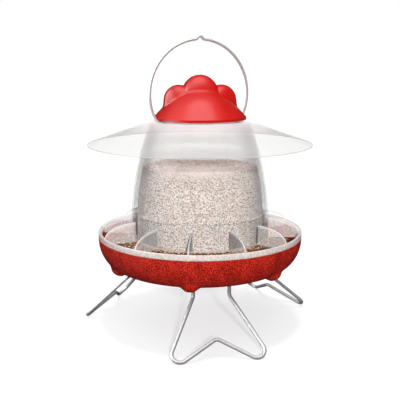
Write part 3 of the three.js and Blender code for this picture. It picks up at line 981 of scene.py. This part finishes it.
def combHeight(x, y):
    # lobes' circles give the ridge; each slice across is a superellipse arch as wide as an oval
    s = lidSettings
    ridge = np.full_like(x, s["combBase"])
    for centre, z, radius in s["lobes"]:
        reach = radius ** 2 - (x - centre) ** 2
        lobe = np.where(reach > 0, z + np.sqrt(np.maximum(reach, 0)), s["combBase"])
        ridge = np.maximum(ridge, lobe)
    width = s["combWidth"] * np.sqrt(np.maximum(1 - (x / (s["combLength"] + 3)) ** 2, 0.0004))
    across = np.clip(np.abs(y) / width, 0, 1)
    arch = (1 - across ** 2.5) ** (1 / 1.6)
    inside = (np.abs(x) < s["combLength"]) & (across < 1)
    return np.where(inside, s["combBase"] + (ridge - s["combBase"]) * arch, s["combBase"] - 40)


def smoothed(grid, times):
    # each height becomes the mean of itself and its four neighbours
    for _ in range(times):
        up = np.concatenate([grid[:1], grid[:-1]])
        down = np.concatenate([grid[1:], grid[-1:]])
        grid = (2 * grid + up + down + np.roll(grid, 1, 1) + np.roll(grid, -1, 1)) / 6
    return grid


def makeLid():
    # the higher of dome and comb, with a small raised line where they meet, over an inner skin
    s = lidSettings
    fine, coarse = np.linspace(0, 62, s["ringsIn"]), np.linspace(62.5, lidHigh[0], s["ringsOut"])
    radius = np.concatenate([fine, coarse])
    angle = np.linspace(0, 2 * np.pi, s["turns"], endpoint=False)
    x, y = radius[:, None] * np.cos(angle), radius[:, None] * np.sin(angle)
    dome = domeHeight(radius)[:, None] + 0 * angle
    comb = combHeight(x, y)
    outer = np.maximum(dome, comb)
    outer = outer + s["fold"] * np.exp(-((comb - dome) / s["foldSpread"]) ** 2) * (comb > s["combBase"])
    soft = smoothed(outer, s["softening"])
    outer[1:-s["ringsOut"]] = soft[1:-s["ringsOut"]]
    outerGrid = np.stack([x, y, outer], -1)
    innerRadius = np.linspace(0, lidHigh[0] - s["rimWall"], 60)[::-1]
    ix, iy = innerRadius[:, None] * np.cos(angle), innerRadius[:, None] * np.sin(angle)
    innerZ = domeHeight(innerRadius)[:, None] - s["rimWall"] * math.sqrt(2) + 0 * angle
    innerZ = np.minimum(innerZ, s["top"] - s["wall"])
    innerGrid = np.stack([ix, iy, innerZ], -1)
    low = lidLow[2] - s["skirt"]
    edge = [(lidHigh[0] + 0.1, low + 0.5), (lidHigh[0] - 0.4, low), (lidHigh[0] - 1.8, low),
            (lidHigh[0] - s["rimWall"], low + 0.5)]
    edgeGrid = np.array([[r * np.cos(angle), r * np.sin(angle), z + 0 * angle] for r, z in edge])
    grid = np.concatenate([outerGrid, edgeGrid.transpose(0, 2, 1), innerGrid])
    shell = closedPart(grid.reshape(-1, 3), gridQuads(len(grid), s["turns"]))
    plug = eased([(s["plug"], s["plugLow"]), (s["plug"], 334.8), (s["plug"] - 2, 335.5),
                  (s["plug"] - 2, s["plugLow"])], [0.5, 0.2, 0.2, 0.5], 3)
    makePiece("lid_cover", [shell, turnedPart(plug, 128)], "lid", [finishes["lid"]], ["lid"])


makeLid()
print("lid made")


bailSettings = {
    "wire": 2.0,  # half its thickness
    "spacing": 1.6,
    "radius": 82,
    "centreZ": 361.6,
    "cornerU": 72.8,
    "endU": 59,
    "kink": [(5.4, 443.7), (2.9, 447.6)],  # the raised hump, from its foot up
    "kinkWidth": 8.6,
    "sides": 20,
}


def makeBail():
    # a circle's arc above two short ends, with a hump at the top, mirrored and carried in one plane
    s = bailSettings
    joint = joints["bail_swing"]
    axis = np.array(joint["axis"][:2])
    pivotZ = joint["pos_m"][2] / mm
    low = math.asin((pivotZ + 5 - s["centreZ"]) / s["radius"])
    high = math.acos(s["kinkWidth"] / s["radius"])
    angle = np.linspace(low, high, 60)
    arch = np.stack([s["radius"] * np.cos(angle), s["centreZ"] + s["radius"] * np.sin(angle)], -1)
    start = filletPath([(s["endU"], pivotZ), (s["cornerU"], pivotZ), arch[0]], [3.5], 8)
    half = np.concatenate([start[:-1], arch])
    mirror = half[::-1] * (-1, 1)
    hump = s["kink"]
    back = [(-u, z) for u, z in hump[::-1]]
    top = filletPath([half[-2], *hump, *back, mirror[1]], [2.4, 2.2, 2.2, 2.4], 10)
    line = np.concatenate([half[:-2], top, mirror[2:]])
    line = densePath(line, s["spacing"])
    path = np.stack([line[:, 0] * axis[0], line[:, 0] * axis[1], line[:, 1]], -1)
    makePiece("bail_wire", [tubePart(path, s["wire"], s["sides"])], "bail",
              [finishes["bail"]], ["bail"])


makeBail()
print("bail made")


feedSettings = {
    "inset": 9.7,  # from the hopper's outside to the grains' middles
    "spigotInset": 5.2,
    "aroundRadius": 97,  # where the grains' spacing round the column is measured
    "collarTop": 182,
    "columnTop": 250.8,
    "crown": 0.9,
    "columnLow": 139.5,
    "rowStep": 2.65,
    "aroundStep": 2.9,
    "topStep": 3.0,
    "paintedLightBehindCollar": 0.12,  # painted light: grains behind the collar are paler by this much, making up for the shade of the walls in front
    "troughStep": 3.0,
    "grain": (2.0, 1.25, 1.05),
    "pellet": (2.7, 1.35, 1.3),
    "slope": (108.0, 137.9, 151.0, 122.5),  # inner radius and height, outer radius and height
}


def grainShape():
    # an ellipsoid of two rings and two tips, with only a few faces
    rings = np.array([(0, 1.0), (0.86, 0.5), (0.86, -0.5), (0, -1.0)])
    angle = np.linspace(0, 2 * np.pi, 5, endpoint=False)
    across, along = rings[:, :1], rings[:, 1:]
    grid = np.stack([along + 0 * angle, across * np.cos(angle), across * np.sin(angle)], -1)
    return closedPart(grid.reshape(-1, 3), gridQuads(4, 5))


def scattered(name, centres, normals, size, tones, finish):
    # one small ellipsoid at each centre, lying along the surface and turned at random
    shape = grainShape()
    count = len(centres)
    spin = rng.normal(size=(count, 3))
    along = spin - normals * (spin * normals).sum(1, keepdims=True) * 0.8
    along /= np.linalg.norm(along, axis=1, keepdims=True)
    across = np.cross(normals, along)
    across /= np.linalg.norm(across, axis=1, keepdims=True)
    third = np.cross(along, across)
    scale = rng.uniform(0.8, 1.18, (count, 1, 1))
    local = shape["points"][None] * np.array(size) * scale
    frames = np.stack([along, across, third], 1)
    points = centres[:, None] + np.einsum("nkj,nji->nki", local, frames)
    grainPoints = len(shape["points"])
    shift = (np.arange(count) * grainPoints)[:, None, None]
    quads = (shape["quads"][None] + shift).reshape(-1, 4)
    triangles = (shape["triangles"][None] + shift).reshape(-1, 3)
    slots = np.zeros(len(quads) + len(triangles), int)
    part = {"points": points.reshape(-1, 3), "quads": quads, "triangles": triangles, "slots": slots}
    piece = makePiece(name, [part], "tray", [finish])
    tone = piece.data.attributes.new("tone", "FLOAT", "POINT")
    tone.data.foreach_set("value", np.repeat(tones, grainPoints))


def columnRadius(z):
    # follows the hopper's taper, and runs straight down inside its spigot
    s = feedSettings
    inBody = bodyRadius(np.maximum(z, hopperSettings["bodyLow"])) - s["inset"]
    return np.minimum(inBody, hopperSettings["spigot"] - s["spigotInset"])


def columnGrains():
    # rows of grains on the column, each one moved a little at random
    s = feedSettings
    rows = np.arange(s["columnLow"], s["columnTop"] - 1.5, s["rowStep"])
    around = int(2 * np.pi * s["aroundRadius"] / s["aroundStep"])
    z, k = np.meshgrid(rows, np.arange(around), indexing="ij")
    z = z + rng.uniform(-1.1, 1.1, z.shape)
    angle = (k + 0.5 * (np.arange(len(rows)) % 2)[:, None] + rng.uniform(-0.35, 0.35, z.shape))
    angle = angle * 2 * np.pi / around
    radius = columnRadius(z) + rng.uniform(-0.5, 0.3, z.shape)
    out = np.stack([np.cos(angle), np.sin(angle), 0 * angle], -1)
    centres = out * radius[..., None] + np.stack([0 * z, 0 * z, z], -1)
    tones = np.clip(rng.beta(1.5, 1.3, z.size) + s["paintedLightBehindCollar"] * (z.ravel() < s["collarTop"]), 0, 1)
    scattered("feed_column_grains", centres.reshape(-1, 3), out.reshape(-1, 3), s["grain"], tones,
              finishes["grain"])


def discGrains():
    # a square grid moved a little at random and cut to a disc, crowned as a quarter cosine
    s = feedSettings
    edge = columnRadius(np.array(s["columnTop"])) - 0.8
    ticks = np.arange(-edge, edge, s["topStep"])
    x, y = np.meshgrid(ticks, ticks)
    x = (x + rng.uniform(-1, 1, x.shape)).ravel()
    y = (y + rng.uniform(-1, 1, y.shape)).ravel()
    keep = np.hypot(x, y) < edge
    x, y = x[keep], y[keep]
    crown = s["crown"] * np.cos(np.hypot(x, y) / edge * np.pi / 2)
    z = s["columnTop"] + crown + rng.uniform(-0.5, 0.3, len(x))
    centres = np.stack([x, y, z], -1)
    up = np.tile((0, 0, 1.0), (len(x), 1))
    tones = rng.beta(1.4, 1.4, len(x))
    scattered("feed_top_grains", centres, up, s["grain"], tones, finishes["topGrain"])


def troughPellets():
    # rings of pellets on a straight slope from the collar down to the tray's wall
    s = feedSettings
    innerRadius, innerZ, outerRadius, outerZ = s["slope"]
    rings = np.arange(innerRadius - 4, outerRadius, s["troughStep"])
    centres, normals = [], []
    fall = math.atan2(innerZ - outerZ, outerRadius - innerRadius)
    for ring in rings:
        count = int(2 * np.pi * ring / s["troughStep"])
        angle = (np.arange(count) + rng.uniform(-0.4, 0.4, count)) * 2 * np.pi / count
        radius = ring + rng.uniform(-1.1, 1.1, count)
        share = np.clip((radius - innerRadius) / (outerRadius - innerRadius), 0, 1)
        z = innerZ + (outerZ - innerZ) * share + rng.uniform(-0.9, 0.2, count) - 1.0
        centres.append(np.stack([radius * np.cos(angle), radius * np.sin(angle), z], -1))
        normals.append(np.stack([np.cos(angle) * math.sin(fall), np.sin(angle) * math.sin(fall),
                                 0 * angle + math.cos(fall)], -1))
    centres, normals = np.concatenate(centres), np.concatenate(normals)
    tones = rng.beta(1.1, 1.8, len(centres))
    scattered("feed_trough_pellets", centres, normals, s["pellet"], tones, finishes["pellets"])


def makeFeed():
    # a column and a sloping bed turned round the axis, with loose grains over them
    s = feedSettings
    innerRadius, innerZ, outerRadius, outerZ = s["slope"]
    z = np.linspace(s["columnTop"] - 1.6, s["columnLow"], 30)
    wall = np.stack([columnRadius(z) - 0.9, z], -1)
    outline = np.concatenate([[(0, s["columnTop"] - 0.6)], wall, [
        (innerRadius - 4, innerZ - 1.6), (outerRadius, outerZ - 1.4), (outerRadius, feedLow[2] + 0.3),
        (36, feedLow[2] + 0.3), (12, 131), (0, 131)]])
    makePiece("feed_bed", [turnedPart(outline, 160)], "tray", [finishes["bed"]],
              ["feed_fill"])
    columnGrains()
    discGrains()
    troughPellets()


makeFeed()
print("feed made")


floorSettings = {
    "half": 12,  # metres
}


def makeFloor():
    # one flat square
    half = floorSettings["half"]
    mesh = bpy.data.meshes.new("floor")
    corners = [(-half, -half, 0), (half, -half, 0), (half, half, 0), (-half, half, 0)]
    mesh.from_pydata(corners, [], [(0, 1, 2, 3)])
    mesh.materials.append(finishes["floor"])
    floor = bpy.data.objects.new("floor", mesh)
    scene.collection.objects.link(floor)
    floor.visible_diffuse = False  # its white doesn't light the object from below
    floor.visible_glossy = False


makeFloor()
print("floor made")
